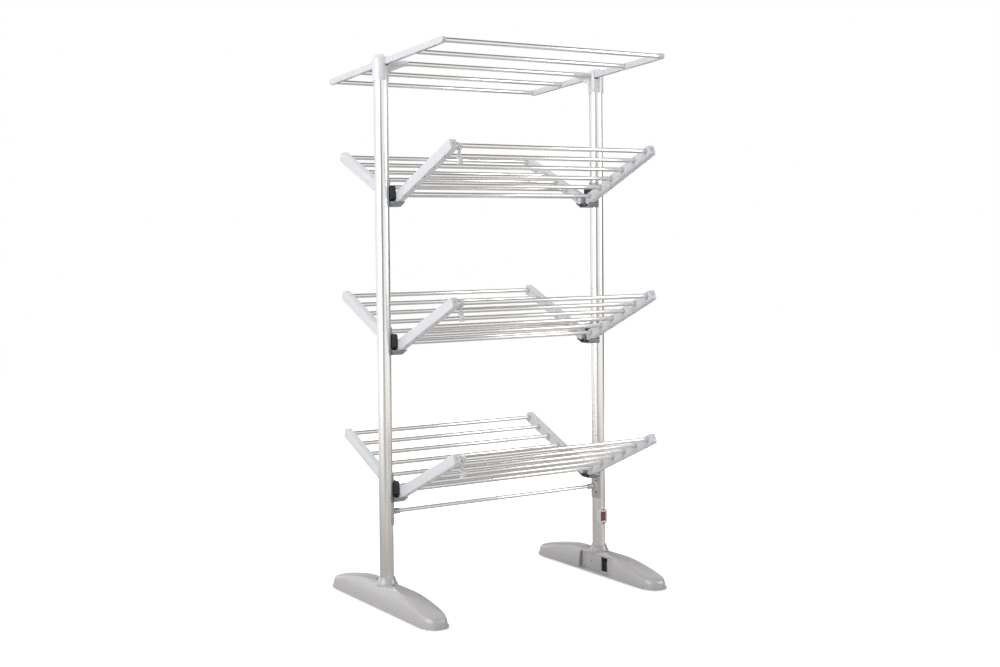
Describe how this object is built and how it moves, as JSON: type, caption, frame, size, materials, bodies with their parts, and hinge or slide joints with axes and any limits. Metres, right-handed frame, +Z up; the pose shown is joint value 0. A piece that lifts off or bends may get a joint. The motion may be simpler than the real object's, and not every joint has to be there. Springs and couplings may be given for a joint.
{
  "type": "heated clothes airer",
  "caption": "Free-standing heated clothes airer: two posts on long feet, three tiers of fold-up wings with heated rods, a tilting top rack, hanging wing clips and a rocker switch.",
  "frame": {"origin": "on the floor, midway between the two posts", "axes": "+X along the rods from the left post to the right one, +Y to the back, +Z up"},
  "size_m": [0.7468, 0.6106, 1.4098],
  "materials": {
    "anodised_aluminium": "satin anodised tube",
    "polished_aluminium": "drawn tube, polished",
    "heated_rods": "drawn tube rods in a moulded pale grey arm",
    "arm_plastic": "moulded, fine satin",
    "pale_plastic": "moulded, fine satin",
    "grey_plastic": "moulded, warm light grey, satin",
    "bracket_metal": "blue-grey metallic paint on bent sheet",
    "plate_metal": "light grey metallic paint",
    "black_plastic": "moulded, matt",
    "rubber": "dark soft pad",
    "red_plastic": "gloss, translucent dark red",
    "clear_plastic": "milky translucent moulding",
    "wiring": "pale insulation"
  },
  "bodies": {
    "frame": {"post_left": "anodised_aluminium", "cap_left": "pale_plastic", "foot_cover_left": "grey_plastic", "foot_base_left": "grey_plastic", "foot_bay_panel_left": "grey_plastic", "crossbar_plate_left": "plate_metal", "foot_pad_front_left": "rubber", "foot_pad_back_left": "rubber", "bracket_low_left": "bracket_metal", "pivot_block_low_left": "black_plastic", "bracket_middle_left": "bracket_metal", "pivot_block_middle_left": "black_plastic", "bracket_top_left": "bracket_metal", "pivot_block_top_left": "black_plastic", "post_right": "anodised_aluminium", "cap_right": "pale_plastic", "foot_cover_right": "grey_plastic", "foot_base_right": "grey_plastic", "foot_bay_panel_right": "grey_plastic", "crossbar_plate_right": "plate_metal", "foot_pad_front_right": "rubber", "foot_pad_back_right": "rubber", "bracket_low_right": "bracket_metal", "pivot_block_low_right": "black_plastic", "bracket_middle_right": "bracket_metal", "pivot_block_middle_right": "black_plastic", "bracket_top_right": "bracket_metal", "pivot_block_top_right": "black_plastic", "crossbar": "polished_aluminium", "rack_centre_rod": "polished_aluminium", "switch_housing": "pale_plastic", "switch_body": "black_plastic", "wiring_loom": "wiring", "terminal_block": "wiring", "thermal_cutout": "black_plastic"},
    "wing_low_front": {"wing_low_front_left_arm": "arm_plastic", "wing_low_front_rods_right_arm": "heated_rods"},
    "wing_low_back": {"wing_low_back_left_arm": "arm_plastic", "wing_low_back_rods_right_arm": "heated_rods"},
    "wing_middle_front": {"wing_middle_front_left_arm": "arm_plastic", "wing_middle_front_rods_right_arm": "heated_rods"},
    "wing_middle_back": {"wing_middle_back_left_arm": "arm_plastic", "wing_middle_back_rods_right_arm": "heated_rods"},
    "wing_top_front": {"wing_top_front_left_arm": "arm_plastic", "wing_top_front_rods_right_arm": "heated_rods"},
    "wing_top_back": {"wing_top_back_left_arm": "arm_plastic", "wing_top_back_rods_right_arm": "heated_rods"},
    "rack": {"rack_arm_left": "arm_plastic", "rack_arm_right": "arm_plastic", "rack_rod_front_outer": "polished_aluminium", "rack_rod_front_inner": "polished_aluminium", "rack_rod_back_inner": "polished_aluminium", "rack_rod_back_outer": "polished_aluminium"},
    "clip_low": {"clip_low": "clear_plastic"},
    "clip_middle": {"clip_middle": "clear_plastic"},
    "clip_top": {"clip_top": "clear_plastic"},
    "rocker": {"switch_rocker": "red_plastic"}
  },
  "joints": [
    {"name": "wing_low_front_fold", "type": "hinge", "parent": "frame", "child": "wing_low_front", "pos_m": [0, -0.018, 0.293], "axis": [-1, 0, 0], "range_deg": [0, 66.4]},
    {"name": "wing_low_back_fold", "type": "hinge", "parent": "frame", "child": "wing_low_back", "pos_m": [0, 0.018, 0.293], "axis": [1, 0, 0], "range_deg": [0, 66.4]},
    {"name": "wing_middle_front_fold", "type": "hinge", "parent": "frame", "child": "wing_middle_front", "pos_m": [0, -0.018, 0.668], "axis": [-1, 0, 0], "range_deg": [0, 66.4]},
    {"name": "wing_middle_back_fold", "type": "hinge", "parent": "frame", "child": "wing_middle_back", "pos_m": [0, 0.018, 0.668], "axis": [1, 0, 0], "range_deg": [0, 66.4]},
    {"name": "wing_top_front_fold", "type": "hinge", "parent": "frame", "child": "wing_top_front", "pos_m": [0, -0.018, 1.043], "axis": [-1, 0, 0], "range_deg": [0, 66.4]},
    {"name": "wing_top_back_fold", "type": "hinge", "parent": "frame", "child": "wing_top_back", "pos_m": [0, 0.018, 1.043], "axis": [1, 0, 0], "range_deg": [0, 66.4]},
    {"name": "rack_tilt", "type": "hinge", "parent": "frame", "child": "rack", "pos_m": [0, 0, 1.381], "axis": [1, 0, 0], "range_deg": [0, 8]},
    {"name": "clip_low_swing", "type": "hinge", "parent": "wing_low_front", "child": "clip_low", "pos_m": [-0.273, -0.27843, 0.40678], "axis": [1, 0, 0], "range_deg": [-90, 156.4]},
    {"name": "clip_middle_swing", "type": "hinge", "parent": "wing_middle_front", "child": "clip_middle", "pos_m": [-0.273, -0.27843, 0.78178], "axis": [1, 0, 0], "range_deg": [-90, 156.4]},
    {"name": "clip_top_swing", "type": "hinge", "parent": "wing_top_front", "child": "clip_top", "pos_m": [-0.273, -0.27843, 1.15678], "axis": [1, 0, 0], "range_deg": [-90, 156.4]},
    {"name": "switch_rocker_tilt", "type": "hinge", "parent": "frame", "child": "rocker", "pos_m": [0.335, -0.0182, 0.1565], "axis": [-1, 0, 0], "range_deg": [0, 12]}
  ]
}
